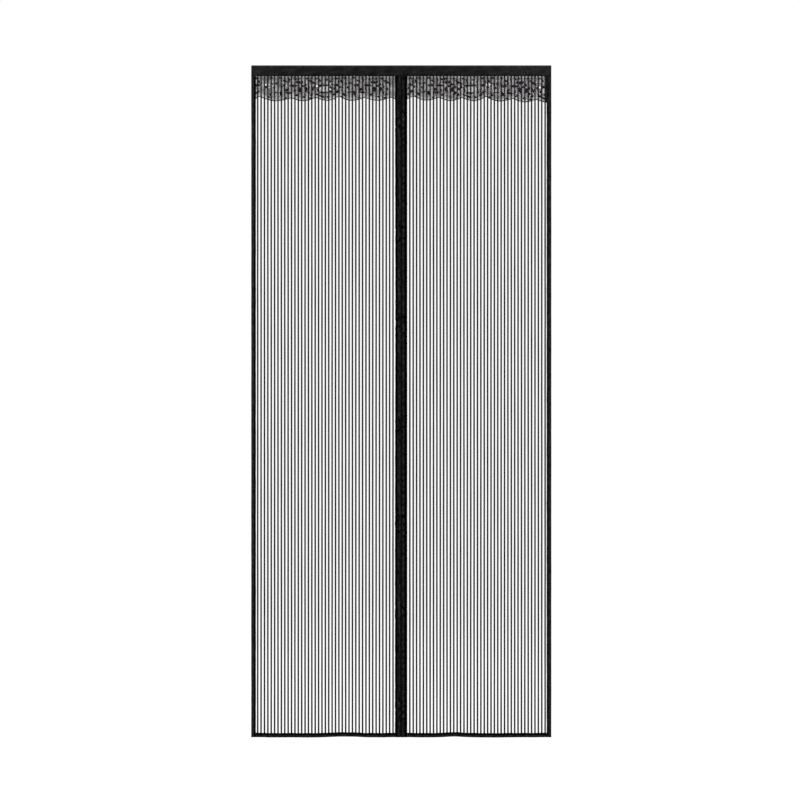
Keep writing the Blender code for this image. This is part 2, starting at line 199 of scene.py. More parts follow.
from_below = add_node(tree, "ShaderNodeNewGeometry").outputs["Backfacing"]
underside = mix_shaders(tree, from_below, choose, add_node(tree, "ShaderNodeBsdfTransparent"))
paper_out = add_node(tree, "ShaderNodeOutputMaterial")
tree.links.new(underside.outputs[0], paper_out.inputs["Surface"])
floor_mesh.materials.append(paper)

# %% [markdown]
# ## Sizes
# Every size is in millimetres here, with depth measured out from the door frame, as a maker would
# note them. They repeat the solids' own sizes, so each cloth lands in the layer that it belongs to.

# %% Sizes of the curtain
sides = (("left", -1.0), ("right", 1.0))
half_width = 450.0
top_z = 16.0
header_bottom_z = -16.0
bottom_z = -2002.0
ribbon_thickness = 0.5

centre_band_width = 17.6
side_binding_edge = 437.7
bottom_binding_height = 12.6
cloth_inner_edge = 12.75
cloth_outer_edge = 448.45

# Middles of the layers, as depths in front of the door frame.
header_back_ply = 3.05
back_ply = 3.85
net_middle = 4.70
net_ply = 5.55
lace_middle = 5.60
lace_ply = 6.45
header_front_ply = 7.25
magnet_ply = 7.95
tucked_top_z = top_z - ribbon_thickness / 2 - (header_front_ply - header_back_ply) / 2
net_bottom_z = bottom_z + ribbon_thickness / 2 + (net_ply - back_ply) / 2
magnet_half_length = 20.0
magnet_heights = [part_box(f"left_magnet_{i}")[0][2] * 1000 + magnet_half_length for i in range(1, 8)]
print("magnets at", [round(z) for z in magnet_heights])

# %% [markdown]
# ## How the cloth hangs
# Net is so light that it never hangs dead flat. A cloth simulation would move every thread a little,
# but thousands of threads are slow to simulate, so one smooth billow is written as a function of the
# place, and every layer uses the same one. Layers that lie on each other then never cut through.


# %% Smooth wandering
def smooth(low, high, t):
    """0 below low, 1 above high, and an even S between."""
    share = np.clip((np.asarray(t, float) - low) / (high - low), 0.0, 1.0)
    return share * share * (3.0 - 2.0 * share)


def wander(t, length, seed):
    """A smooth drift along t, between about -1 and 1, the same on every run."""
    luck = np.random.default_rng(seed)
    total = np.zeros(t.shape)
    for turn in range(1, 7):
        phase = luck.uniform(0, 2 * np.pi)
        total = total + np.sin(2 * np.pi * turn**0.93 * t / length + phase) / turn**0.6
    return total / 2.4


def crumple(across, along, size, seed, waves=9):
    """Small uneven folds over a surface, between about -1 and 1."""
    luck = np.random.default_rng(seed)
    total = np.zeros(np.broadcast(across, along).shape)
    for _ in range(waves):
        turn = luck.uniform(0, np.pi)
        length = size * luck.uniform(0.7, 1.6)
        phase = luck.uniform(0, 2 * np.pi)
        run = across * np.cos(turn) + along * np.sin(turn)
        total = total + np.sin(2 * np.pi * run / length + phase)
    return total / math.sqrt(waves)


# %% One billow for every layer
billow_depth = 1.7
# Share of each wave, how much it is stretched in height, its length and its seed.
billow_waves = ((0.6, 0.45, 310.0, 11), (0.3, 0.8, 150.0, 12))


def billow(x, z):
    """How far the cloth stands forward, none at the bands, the sides and the header."""
    out = np.abs(x)
    free = smooth(24.0, 90.0, out) * (1 - smooth(360.0, 430.0, out))
    free = free * smooth(20.0, 260.0, header_bottom_z - z)
    waves = sum(share * crumple(x, z * tall, length, seed) for share, tall, length, seed in billow_waves)
    return billow_depth * free * waves


grid = billow(np.linspace(-half_width, half_width, 400)[:, None], np.linspace(bottom_z, 0, 300))
print("largest billow", round(float(np.abs(grid).max()), 2), "mm")

# %% The hem, drawn up in two places: x, height and reach of each
hem_rises = ((-172.0, 2.4, 55.0), (161.0, 2.5, 38.0))
hem_ease = -0.8
hem_waver = 0.35


def hem_shift(x, z):
    """How far the lower edge is drawn up at x, fading out above the hem."""
    near = 1 - smooth(bottom_z + 14.0, bottom_z + 240.0, z)
    between = smooth(20.0, 60.0, np.abs(x)) * (1 - smooth(390.0, 434.0, np.abs(x)))
    rise = sum(height * np.exp(-(((x - place) / reach) ** 2)) for place, height, reach in hem_rises)
    return near * between * (rise + hem_ease + hem_waver * wander(x, 260.0, 21))


# %% [markdown]
# ## Making pieces
# Threads, ribbons and lace are all long thin shapes, so a few helpers in plain arrays do most of the
# work: one joins rings of points into a tube, and one turns points and faces into a named piece that
# takes its place in the frame.


# %% Mesh helpers
def tube_faces(rows, ring, first=0):
    """Faces of a tube whose points come ring by ring, with its two ends closed."""
    step = np.arange(rows - 1)[:, None] * ring
    here = np.arange(ring)[None, :]
    after = (here + 1) % ring
    quads = np.stack([step + here, step + after, step + ring + after, step + ring + here], -1)
    faces = (quads.reshape(-1, 4) + first).tolist()
    last = first + (rows - 1) * ring
    faces.append([first + i for i in range(ring)][::-1])
    faces.append([last + i for i in range(ring)])
    return faces


def make_piece(name, points, faces, finishes, slot, stands_for=(), which=None, painted_light_and_tone=None, sharp=None):
    """A piece from points (across, depth, height) in mm that rides with the curtain."""
    mesh = bpy.data.meshes.new(name)
    mesh.from_pydata((points * (0.001, -0.001, 0.001)).tolist(), [], faces)
    for finish in finishes:
        mesh.materials.append(finish)
    if which is not None:
        mesh.polygons.foreach_set("material_index", np.asarray(which, np.int32))
    # A tone for each point: on the ribbons it paints shade and highlights into the colour.
    if painted_light_and_tone is not None:
        tones = mesh.attributes.new("painted_light_and_tone", "FLOAT", "POINT")
        tones.data.foreach_set("value", np.asarray(painted_light_and_tone, np.float32))
    mesh.shade_smooth()
    if sharp is not None:
        mesh.set_sharp_from_angle(angle=math.radians(sharp))
    piece = bpy.data.objects.new(name, mesh)
    bpy.context.scene.collection.objects.link(piece)
    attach(piece, "root")
    if stands_for:
        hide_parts(*stands_for)
    print(name, "has", sum(len(face) - 2 for face in faces), "triangles")
    return piece


# %% [markdown]
# ## Finishes
# Everything is black, so the finishes differ by weave, nap and shine and hardly by colour. Each one
# is built from nodes that read the object's own coordinates, which are metres, so the yarn has its
# real pitch on every piece and no picture is needed.


# %% A starting point for every finish
def begin_finish(name, roughness, shine, sheen):
    """A Principled material with its even settings made, and its coordinates ready."""
    finish = bpy.data.materials.new(name)
    finish.use_nodes = True
    tree = finish.node_tree
    shader = tree.nodes["Principled BSDF"]
    shader.inputs["Roughness"].default_value = roughness
    shader.inputs["Specular IOR Level"].default_value = shine
    shader.inputs["Sheen Weight"].default_value = sheen
    shader.inputs["Sheen Roughness"].default_value = 0.45
    place = add_node(tree, "ShaderNodeTexCoord").outputs["Object"]
    return finish, tree, shader, place


def add_pattern(tree, kind, place, **settings):
    """A texture node that reads the object's own coordinates."""
    pattern = add_node(tree, kind, **settings)
    tree.links.new(place, pattern.inputs["Vector"])
    return pattern


def mottle(tree, place, scale, dark, light):
    """A colour that wanders between two shades over patches of 1/scale metres."""
    noise = add_pattern(tree, "ShaderNodeTexNoise", place, in_Scale=scale, in_Detail=3.0)
    ramp = add_node(tree, "ShaderNodeValToRGB")
    for stop, position, colour in zip(ramp.color_ramp.elements, (0.35, 0.65), (dark, light)):
        stop.position = position
        stop.color = (*colour, 1)
    tree.links.new(noise.outputs["Fac"], ramp.inputs["Fac"])
    return ramp.outputs["Color"]


def raise_surface(tree, shader, height, strength, depth):
    """Bump the surface by a height pattern, depth in metres."""
    bump = add_node(tree, "ShaderNodeBump", in_Strength=strength, in_Distance=depth)
    tree.links.new(height, bump.inputs["Height"])
    tree.links.new(bump.outputs["Normal"], shader.inputs["Normal"])


# A wave texture of scale 1 repeats after this length.
wave_repeat = 0.3142
weave_pitch = 0.0007


def weave(tree, place, pitch):
    """The over and under of a plain weave, as a height from two crossed sets of waves."""
    cross = add_node(tree, "ShaderNodeMath", operation="MULTIPLY")
    for i, direction in enumerate(("X", "Z")):
        settings = {"bands_direction": direction, "in_Scale": wave_repeat / pitch}
        wave = add_pattern(tree, "ShaderNodeTexWave", place, **settings)
        tree.links.new(wave.outputs["Fac"], cross.inputs[i])
    return cross.outputs[0]


# %% Woven ribbon
def make_ribbon_finish(name, dark, light, deep, roughness, shine, sheen):
    """Ribbon whose colour runs from painted shade in the folds, through its face, to painted highlight."""
    finish, tree, shader, place = begin_finish(name, roughness, shine, sheen)
    face = mottle(tree, place, 120.0, dark, light)
    painted_light_and_tone = add_node(tree, "ShaderNodeAttribute", attribute_name="painted_light_and_tone")
    blend = add_node(tree, "ShaderNodeMix", data_type="RGBA")
    # A tone past 1 carries on beyond the face colour, as a painted highlight.
    blend.clamp_factor = False
    colour_sockets = [socket for socket in blend.inputs if socket.type == "RGBA"]
    colour_sockets[0].default_value = (*deep, 1)
    tree.links.new(painted_light_and_tone.outputs["Fac"], blend.inputs[0])
    tree.links.new(face, colour_sockets[1])
    mixed = [socket for socket in blend.outputs if socket.type == "RGBA"][0]
    tree.links.new(mixed, shader.inputs["Base Color"])
    raise_surface(tree, shader, weave(tree, place, weave_pitch), 0.5, 0.0001)
    return finish


def grey(shade):
    """An even grey as red, green and blue."""
    return (shade, shade, shade)


# Dark and light shade, painted shade deep in the folds, roughness, shine and sheen.
ribbons = {
    "header_ribbon": ((0.0056, 0.0059, 0.0058), (0.0132, 0.0128, 0.0131), grey(0.0006), 0.62, 0.04, 0.02),
    "binding_ribbon": (grey(0.0082), (0.0162, 0.0160, 0.0160), grey(0.0002), 0.60, 0.008, 0.0),
}
material = {name: make_ribbon_finish(name, *looks) for name, looks in ribbons.items()}


# %% Yarn, tape, patch and magnet finishes
def make_grained_finish(name, dark, light, patch, grain, strength, depth, roughness, shine, sheen):
    """A mottled shade under fine bumps: round hooks, or the filaments, pile or grain of the rest."""
    finish, tree, shader, place = begin_finish(name, roughness, shine, sheen)
    tree.links.new(mottle(tree, place, patch, dark, light), shader.inputs["Base Color"])
    kind, output = ("Voronoi", "Distance") if name == "moulded_hooks" else ("Noise", "Fac")
    bumps = add_pattern(tree, f"ShaderNodeTex{kind}", place, in_Scale=grain)
    raise_surface(tree, shader, bumps.outputs[output], strength, depth)
    return finish


# Dark and light shade, scale of patches and grain, bump strength and depth, roughness, shine, sheen.
grained = {
    "net_yarn": (grey(0.005), grey(0.009), 30, 2600, 0.4, 0.0001, 0.62, 0.05, 0.02),
    "lace_yarn": ((0.018, 0.0188, 0.0192), (0.052, 0.041, 0.051), 60, 1800, 0.4, 0.0001, 0.66, 0.05, 0.04),
    "lace_cord": ((0.005, 0.0054, 0.0053), (0.022, 0.0165, 0.0205), 80, 1800, 0.4, 0.0001, 0.6, 0.03, 0.01),
    "seam_thread": (grey(0.003), grey(0.008), 200, 3200, 0.4, 0.0001, 0.5, 0.03, 0.0),
    "overlock_thread": (grey(0.0005), grey(0.002), 260, 3200, 0.4, 0.0001, 0.6, 0.008, 0.0),
    "loop_pile": ((0.007, 0.007, 0.0075), (0.017, 0.017, 0.018), 900, 1500, 1.0, 0.0006, 0.95, 0.1, 0.0),
    "moulded_hooks": ((0.006, 0.006, 0.0062), (0.013, 0.013, 0.0135), 220, 700, 1.0, 0.0006, 0.55, 0.12, 0.0),
    "coated_ferrite": ((0.035, 0.035, 0.037), (0.075, 0.074, 0.076), 700, 1200, 0.35, 0.0001, 0.4, 0.5, 0.0),
}
material.update({name: make_grained_finish(name, *looks) for name, looks in grained.items()})
ferrite = material["coated_ferrite"].node_tree.nodes["Principled BSDF"]
ferrite.inputs["Metallic"].default_value = 0.5

for name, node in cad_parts.items():
    for word, kind in (("magnet", "coated_ferrite"), ("loop", "loop_pile"), ("hook", "moulded_hooks")):
        if word in name:
            node.data.materials.clear()
            node.data.materials.append(material[kind])
print("finishes:", len(bpy.data.materials))

# %% [markdown]
# ## The striped net
# The net is knitted in one go. About every ten millimetres the machine packs three rows of loops side
# by side into a dark stripe, and leaves an open lane of fine mesh between stripes. An image with holes
# would fake it, but close up and from the side it would look like print. So each stripe is a ribbed
# strip, and each lane has real threads, thinner than a hair.

# %% The net's sizes
stripe_pitch = 10.16
stripe_count = 41
stripe_width = 4.85
stripe_drift = 0.16
stripe_waver = 0.04
lane_thread = 0.03
mesh_row_pitch = 2.0
mesh_row_sag = 0.25
pillars_per_lane = 3
pillar_zigzag = 0.22
stripe_levels = 30
rib_shares = (-1.0, -0.667, -0.333, 0.0, 0.333, 0.667, 1.0)
rib_heights = (0.0, 0.28, 0.08, 0.28, 0.08, 0.28, 0.0)


# %% Threads
def thread_tubes(lines, size, sides=3):
    """Closed thin tubes along many lines at once: lines is (count, points, 3) in mm."""
    run = np.gradient(lines, axis=1)
    run /= np.linalg.norm(run, axis=2, keepdims=True)
    side = np.cross(run, (0.0, 1.0, 0.0))
    side /= np.linalg.norm(side, axis=2, keepdims=True)
    lift = np.cross(side, run)
    turns = 2 * np.pi * np.arange(sides) / sides
    ring = side[:, :, None] * np.cos(turns)[:, None] + lift[:, :, None] * np.sin(turns)[:, None]
    points = lines[:, :, None] + ring * size / 2
    count, rows = lines.shape[:2]
    faces = []
    for i in range(count):
        faces += tube_faces(rows, sides, i * rows * sides)
    return points.reshape(-1, 3), faces


def join_meshes(parts):
    """One list of points and faces from several."""
    points, faces, start = [], [], 0
    for some_points, some_faces in parts:
        points.append(some_points)
        faces += [[i + start for i in face] for face in some_faces]
        start += len(some_points)
    return np.concatenate(points), faces


def hang(points):
    """Give points the common billow and the drawn-up hem."""
    moved = points.copy()
    moved[:, 1] += billow(points[:, 0], points[:, 2])
    moved[:, 2] += hem_shift(points[:, 0], points[:, 2])
    return moved


# %% Stripes
def stripe_places(sign, shift):
    """The stripes' middles across one panel, evenly spaced in the net that shows."""
    middle = sign * (centre_band_width + side_binding_edge) / 2 + shift
    return middle + stripe_pitch * (np.arange(stripe_count) - (stripe_count - 1) / 2)


def make_stripes(places, seed):
    """Every stripe of a panel as a strip with three ribs on each face."""
    z = np.linspace(net_bottom_z, tucked_top_z, stripe_levels)
    across = list(rib_shares) + list(rib_shares[-2:0:-1])
    rise = list(rib_heights) + [-h for h in rib_heights[-2:0:-1]]
    parts = []
    for i, x in enumerate(places):
        drift = stripe_drift * wander(z, 700.0, seed + i)
        wide = stripe_width / 2 * (1 + stripe_waver * wander(z, 400.0, seed + 100 + i))
        px = x + drift[:, None] + wide[:, None] * np.array(across)
        py = np.broadcast_to(net_middle + np.array(rise), px.shape)
        pz = np.broadcast_to(z[:, None], px.shape)
        parts.append((np.stack([px, py, pz], -1).reshape(-1, 3), tube_faces(len(z), len(across))))
    return join_meshes(parts)


def make_lane_threads(places, sign):
    """The open mesh: level threads across the panel, and pillars in every lane."""
    low, high = sorted((sign * (cloth_inner_edge + 0.4), sign * (cloth_outer_edge - 0.4)))
    rows = np.arange(net_bottom_z + 1.0, tucked_top_z, mesh_row_pitch)
    x = np.linspace(low, high, 11)
    sag = mesh_row_sag * np.cos(np.pi * np.arange(11))
    level = np.stack(np.broadcast_arrays(x[None], net_middle, rows[:, None] + sag[None]), -1)
    z = np.linspace(net_bottom_z + 0.5, tucked_top_z - 0.5, 24)
    lanes = np.concatenate([[places[0] - stripe_pitch], places])
    shares = (np.arange(pillars_per_lane) + 1) / (pillars_per_lane + 1)
    free = stripe_pitch - stripe_width
    stands = (lanes[:, None] + stripe_width / 2 + free * shares).ravel()
    stands = stands[(stands > low) & (stands < high)]
    zigzag = pillar_zigzag * (-1.0) ** np.arange(24)
    pillar = np.stack(np.broadcast_arrays(stands[:, None] + zigzag, net_middle, z[None]), -1)
    return join_meshes([thread_tubes(level, lane_thread), thread_tubes(pillar, lane_thread)])


# %% Both nets
stripe_shifts = {"left": -0.6, "right": 1.0}
stripe_seeds = {"left": 300, "right": 500}
for side, sign in sides:
    places = stripe_places(sign, stripe_shifts[side])
    parts = [make_stripes(places, stripe_seeds[side]), make_lane_threads(places, sign)]
    points, faces = join_meshes(parts)
    finishes = [material["net_yarn"]]
    make_piece(f"{side}_striped_net", hang(points), faces, finishes, "net", [f"{side}_net"])

# %% [markdown]
# ## The lace valance
# The lace is a honeycomb ground in which the machine fills cells to draw leaves and flowers, with a
# heavier cord round each motif and along the scallops. A flat cut-out with a pattern on it is the
# quick way. Here every open cell is a real hole, because light comes through them and the stripes of
# the net show behind. The pattern is an ordinary repeat of three scallops.

# %% The lace's sizes
cell_pitch = 1.75
ground_hole = 0.53
light_hole = 0.71
heading_dip = 0.15
heading_drop = 8.2
heading_reach = 4.2
edge_hole = 0.70
edge_near = 3.0
edge_reach = 13.0
cord_width = 0.9
cord_rise = 0.28
edge_cord_width = 2.5
edge_cord_rise = 0.42
edge_cord_inset = 1.0
edge_cord_step = 1.6
scallop_tip_drop = 75.7
shallow_notch_drop = 66.2
deep_notch_drop = 62.0
scallop_roundness = 1.7
lace_end_hem = 5.0
# Sign, first notch, widths of the scallops, which notch is deep, end hem, and the motifs' order.
lace_sides = {
    "left": (-1.0, 34.1, (75.1, 78.2, 70.6, 72.1, 95.0), 2, 0.0, "BAC"),
    "right": (1.0, 35.9, (78.1, 67.4, 72.1, 81.4, 68.8), 0, lace_end_hem, "ABC"),
}


# %% Scallops
def scallops_of(sign, first_notch, widths, deep_notch, letters):
    """Scallops of one panel as (left x, right x, left drop, right drop, letter)."""
    found = []
    position = first_notch - widths[-1]
    index = -1
    while position < cloth_outer_edge:
        width = widths[index % len(widths)]
        deep = [(i - deep_notch) % 3 == 0 for i in (index, index + 1)]
        drops = [deep_notch_drop if is_deep else shallow_notch_drop for is_deep in deep]
        ends = [sign * position, sign * (position + width)]
        if sign < 0:
            ends.reverse()
            drops.reverse()
        found.append((*ends, *drops, letters[index % 3]))
        position += width
        index += 1
    return sorted(found)


def edge_drop(scallops, x):
    """How far below the header the lace's edge lies at each x."""
    x = np.asarray(x, float)
    drop = np.full(x.shape, shallow_notch_drop)
    for left, right, left_drop, right_drop, _ in scallops:
        inside = (x >= left) & (x <= right)
        share = np.clip((x - left) / (right - left), 0, 1)
        line = left_drop + (right_drop - left_drop) * share
        bulge = 1 - np.abs(2 * share - 1) ** scallop_roundness
        drop = np.where(inside, line + (scallop_tip_drop - line) * bulge, drop)
    return drop


# %% [markdown]
# ### Drawing the pattern
# Each motif is a small outline: a leaf is a pointed oval, and a few leaves round a point make a
# flower. They are listed once for each of the three scallops, as millimetres to the left of the
# scallop's right end and a drop below the header, because the machine knits them at one size.

# %% Motifs of the three scallops
# Left of the right end, drop, length, width and tilt.
leaf_tables = {
    "A": (
        (75.7, 34.5, 9, 6, 20), (62.8, 57, 10, 6.5, 60), (18.6, 15.5, 15, 5.4, 26),
        (13.5, 42, 11, 7.5, -40), (31.5, 53.5, 15, 7.5, 78), (9.6, 50.7, 22, 5.2, 3),
        (33.3, 5.5, 9, 5, 0), (60.6, 5.5, 11, 5, 0),
        (5.7, 12, 14, 4.6, 84), (47, 50, 14, 3.2, -6), (52, 36, 9, 5, 60), (45, 22, 10, 4.6, -30),
        (30, 31, 10, 4.6, 40), (71.5, 16, 11, 5, 70), (57.5, 24, 8, 4.4, 0), (22, 29, 9, 4.8, 80),
        (69, 64, 9, 4, 24), (18, 66, 10, 4.4, -12),
    ),
    "B": (
        (66.5, 29.5, 25, 7.4, 0), (47.4, 20, 10, 6, 84), (46.8, 41.5, 17, 8.4, 80),
        (28.5, 41.5, 16, 8.4, 101), (39, 19, 9, 5.6, 90), (30, 26, 9, 6, 60), (20.4, 50.5, 10, 6.4, 50),
        (11.7, 57, 10, 7.6, -30),
        (9, 19.5, 28, 5.8, 28), (34.8, 64, 9, 4.6, 0), (37.5, 31.5, 12, 5.6, 0), (62, 44, 9, 4.8, 60),
        (57, 58, 11, 5, -26), (61, 10, 10, 4.8, 20), (50.5, 8, 8, 4.8, 0), (24, 8, 10, 4.6, 0),
        (56, 19, 8, 4.4, 70), (19.5, 34, 9, 5, 82), (15.5, 67, 9, 4, -20), (8, 40, 10, 5.2, 70),
    ),
    "C": (
        (73.5, 34, 9, 6.4, 80), (56.5, 30, 12, 7.4, 8), (41, 29.5, 30, 4, 0), (7.8, 28.5, 17, 7.6, 0),
        (23.7, 48.5, 9, 6.4, 0), (47, 52, 30, 4, 1), (6, 49, 13, 6.6, -42), (53, 62.5, 24, 4.8, 20),
        (8.7, 7, 12, 6, 0), (25, 36, 8, 5, 70), (63.5, 44, 9, 5, 76), (66, 57, 8, 5, 30),
        (57, 14, 9, 4.6, 62), (38, 12, 9, 4.4, 0), (26, 17, 9, 4.6, -30), (14, 39, 9, 5, 80),
        (15, 57, 10, 5, -30), (32, 64.5, 12, 4.4, 0), (2, 18, 10, 4.8, 80), (68, 8, 9, 4.6, 0),
    ),
}
# Left of the right end, drop and radius.
eyelet_tables = {
    "A": ((77.8, 26.7, 3.3), (68.8, 26.2, 3.3), (67.9, 35.6, 2.4), (68.5, 43.6, 1.8), (58.9, 45.6, 2)),
    "B": ((23.7, 57, 2), (15.9, 55.2, 1.8)),
    "C": ((66.4, 31.0, 3.5),),
}
# Left of the right end, drop, half length and half height.
medallion = (41.7, 40.5, 18.5, 8.0)


# %% Outlines
def leaf_outline(x, drop, length, width, tilt, steps=9):
    """A pointed oval round its middle, as points (x, drop)."""
    along = -np.cos(np.linspace(0, np.pi, steps))
    half = width / 2 * (1 - along**2) ** 0.75
    there = np.stack([along * length / 2, half], 1)
    back = np.stack([along * length / 2, -half], 1)[-2:0:-1]
    line = np.concatenate([there, back])
    turn = math.radians(tilt)
    spin = np.array([[math.cos(turn), math.sin(turn)], [-math.sin(turn), math.cos(turn)]])
    return line @ spin + (x, drop)


def ring_outline(x, drop, radius, steps=14):
    """A circle as points (x, drop)."""
    turn = 2 * np.pi * np.arange(steps) / steps
    return np.stack([x + radius * np.cos(turn), drop + radius * np.sin(turn)], 1)


def draw_scallop(scallop):
    """Filled outlines and eyelets of one scallop."""
    _, right, _, _, letter = scallop
    filled = [leaf_outline(right - back, *shape) for back, *shape in leaf_tables[letter]]
    eyelets = [(right - back, *shape) for back, *shape in eyelet_tables[letter]]
    return filled, eyelets


def inside_outline(outline, x, drop):
    """True for the points that lie inside a closed outline."""
    hit = np.zeros(x.shape, bool)
    for (xa, ya), (xb, yb) in zip(outline, np.roll(outline, -1, 0)):
        if ya == yb:
            continue
        crosses = (ya > drop) != (yb > drop)
        hit ^= crosses & (x < (xb - xa) * (drop - ya) / (yb - ya) + xa)
    return hit


# %% Honeycomb ground
ground_start = -3.0
solid_top = 1.5
solid_edge = 1.9
motif_reach = 18.0
ground_variation = 0.07


def lace_points(x, drop, rise):
    """Points on the lace at places along it and drops below the header, raised from its middle."""
    return np.stack([x, np.full(x.shape, lace_middle + rise), header_bottom_z - drop], -1).reshape(-1, 3)


def honeycomb(low, high, scallops, filled, eyelets, dense_from):
    """Cells of lace between two x, filled inside the motifs and open elsewhere."""
    row_pitch = cell_pitch * math.sqrt(3) / 2
    rows = np.arange(int((scallop_tip_drop + 4) / row_pitch) + 1)
    columns = np.arange(int((high - low) / cell_pitch) + 1)
    cx = low + columns[None] * cell_pitch + (rows[:, None] % 2) * cell_pitch / 2
    cd = np.broadcast_to(ground_start + rows[:, None] * row_pitch, cx.shape)
    cx, cd = cx.ravel(), cd.ravel()
    keep = cd < edge_drop(scallops, cx) - 0.2
    for x, drop, radius in eyelets:
        keep &= np.hypot(cx - x, cd - drop) > radius - 0.1
    cx, cd = cx[keep], cd[keep]
    edge = edge_drop(scallops, cx)
    full = (cd < solid_top) | (cd > edge - solid_edge) | (np.abs(cx) > dense_from)
    for outline in filled:
        x, drop = outline.mean(0)
        near = (np.abs(cx - x) < motif_reach) & (np.abs(cd - drop) < motif_reach)
        full[near] |= inside_outline(outline, cx[near], cd[near])
    near_edge = 1 - smooth(edge_near, edge_reach, edge - cd)
    open_share = ground_hole + (edge_hole - ground_hole) * near_edge
    open_share = open_share + ground_variation * crumple(cx, cd, 30.0, 41)
    open_share = open_share - heading_dip * np.exp(-(((cd - heading_drop) / heading_reach) ** 2))
    for _, right, _, _, letter in scallops:
        if letter == "C":
            back, drop, half_length, half_height = medallion
            within = ((cx - right + back) / half_length) ** 2 + ((cd - drop) / half_height) ** 2 < 1
            open_share = np.where(within, light_hole, open_share)
    return cx, cd, full, open_share


def cell_mesh(cx, cd, full, open_share, scallops, eyelets):
    """Points and faces of the cells, sharing their corners so that the lace is one sheet."""
    turn = np.radians(60 * np.arange(6) + 30)
    reach = cell_pitch / math.sqrt(3)
    corner_x = cx[:, None] + reach * np.cos(turn)
    corner_d = cd[:, None] + reach * np.sin(turn)
    key_x, key_d = (np.round(v * 50).astype(np.int64) for v in (corner_x, corner_d + 10))
    keys = key_x * 100000 + key_d
    _, first, which = np.unique(keys.ravel(), return_index=True, return_inverse=True)
    x, d = corner_x.ravel()[first], corner_d.ravel()[first]
    d = np.minimum(d, edge_drop(scallops, x))
    for ex, ed, radius in eyelets:
        away = np.hypot(x - ex, d - ed)
        push = (away < radius + 0.35) & (away > 0)
        x = np.where(push, ex + (x - ex) * radius / np.maximum(away, 1e-6), x)
        d = np.where(push, ed + (d - ed) * radius / np.maximum(away, 1e-6), d)
    corner = which.reshape(-1, 6)
    shared = len(x)
    points = [lace_points(x, d, 0.10)]
    faces = []
    mid_x, mid_d = x[corner].mean(1), d[corner].mean(1)
    hollow = np.flatnonzero(~full)
    outer = corner[hollow]
    share = open_share[hollow, None]
    hole_x = mid_x[hollow, None] + share * (x[outer] - mid_x[hollow, None])
    hole_d = mid_d[hollow, None] + share * (d[outer] - mid_d[hollow, None])
    points.append(lace_points(hole_x, hole_d, -0.12))
    inner = shared + np.arange(len(hollow) * 6).reshape(-1, 6)
    ring = np.stack([outer, np.roll(outer, -1, 1), np.roll(inner, -1, 1), inner], -1)
    faces += ring.reshape(-1, 4).tolist()
    solid = np.flatnonzero(full)
    start = shared + len(hollow) * 6
    points.append(lace_points(mid_x[solid], mid_d[solid], 0.22))
    centre = np.broadcast_to(start + np.arange(len(solid))[:, None], (len(solid), 6))
    fan = np.stack([corner[solid], np.roll(corner[solid], -1, 1), centre], -1)
    faces += fan.reshape(-1, 3).tolist()
    return np.concatenate(points), faces


# %% Cords on the lace
# Drop, swing, wave length, seed and cord width of each winding stem.
vines = ((23.5, 3.5, 74.0, 1, 1.2), (47.0, 6.0, 72.0, 3, 0.8))
vine_step = 2.2
picot_pitch = 3.1
picot_half_width = 1.0
picot_hang = 1.15


def raised_cord(line, width, rise, closed):
    """A low ridge along a line of (x, drop), lying on the lace."""
    run = np.roll(line, -1, 0) - np.roll(line, 1, 0) if closed else np.gradient(line, axis=0)
    run /= np.maximum(np.linalg.norm(run, axis=1, keepdims=True), 1e-6)
    side = np.stack([-run[:, 1], run[:, 0]], 1) * width / 2
    rows = []
    for offset, lift in ((-1.0, 0.0), (-0.45, rise), (0.45, rise), (1.0, 0.0)):
        rows.append(lace_points(*(line + side * offset).T, 0.04 + lift))
    points = np.stack(rows, 1).reshape(-1, 3)
    count = len(line)
    steps = np.arange(count if closed else count - 1)
    after = (steps + 1) % count
    faces = []
    for k in range(3):
        near, far = steps * 4 + k, after * 4 + k
        faces += np.stack([near, near + 1, far + 1, far], 1).tolist()
    return points, faces


def vine_line(low, high, base, swing, length, seed):
    """A stem that winds along the lace."""
    x = np.arange(low, high, vine_step)
    wave = swing * np.sin(2 * np.pi * x / length + seed)
    return np.stack([x, base + wave + 1.2 * wander(x, 160.0, seed)], 1)


def picot_loops(low, high, scallops):
    """Small loops of cord that hang from the lace's edge."""
    turn = np.linspace(0, np.pi, 6)
    parts = []
    for x in np.arange(low + 2, high - 2, picot_pitch):
        drop = float(edge_drop(scallops, x))
        loop = np.stack([x + picot_half_width * np.cos(turn), drop + picot_hang * np.sin(turn)], 1)
        parts.append(raised_cord(loop, 0.5, 0.18, False))
    return parts


# %% Lace that was sewn on askew: x, and how much lower its edge hangs there
lace_askew = {
    "left": ((-440.0, -330.0, -240.0, -15.0), (-0.9, 0.1, -1.5, -1.7)),
    "right": ((15.0, 60.0, 150.0, 280.0, 350.0, 440.0), (-2.8, -2.6, -0.8, -0.2, 2.4, 5.2)),
}
most_askew = max(max(drops) for _, drops in lace_askew.values())


def set_askew(points, side):
    """Lower or raise the lace towards its edge, while its sewn top stays level."""
    places, drops = lace_askew[side]
    free = smooth(2.0, 45.0, header_bottom_z - points[:, 2])
    moved = points.copy()
    moved[:, 2] -= np.interp(points[:, 0], places, drops) * free
    return moved


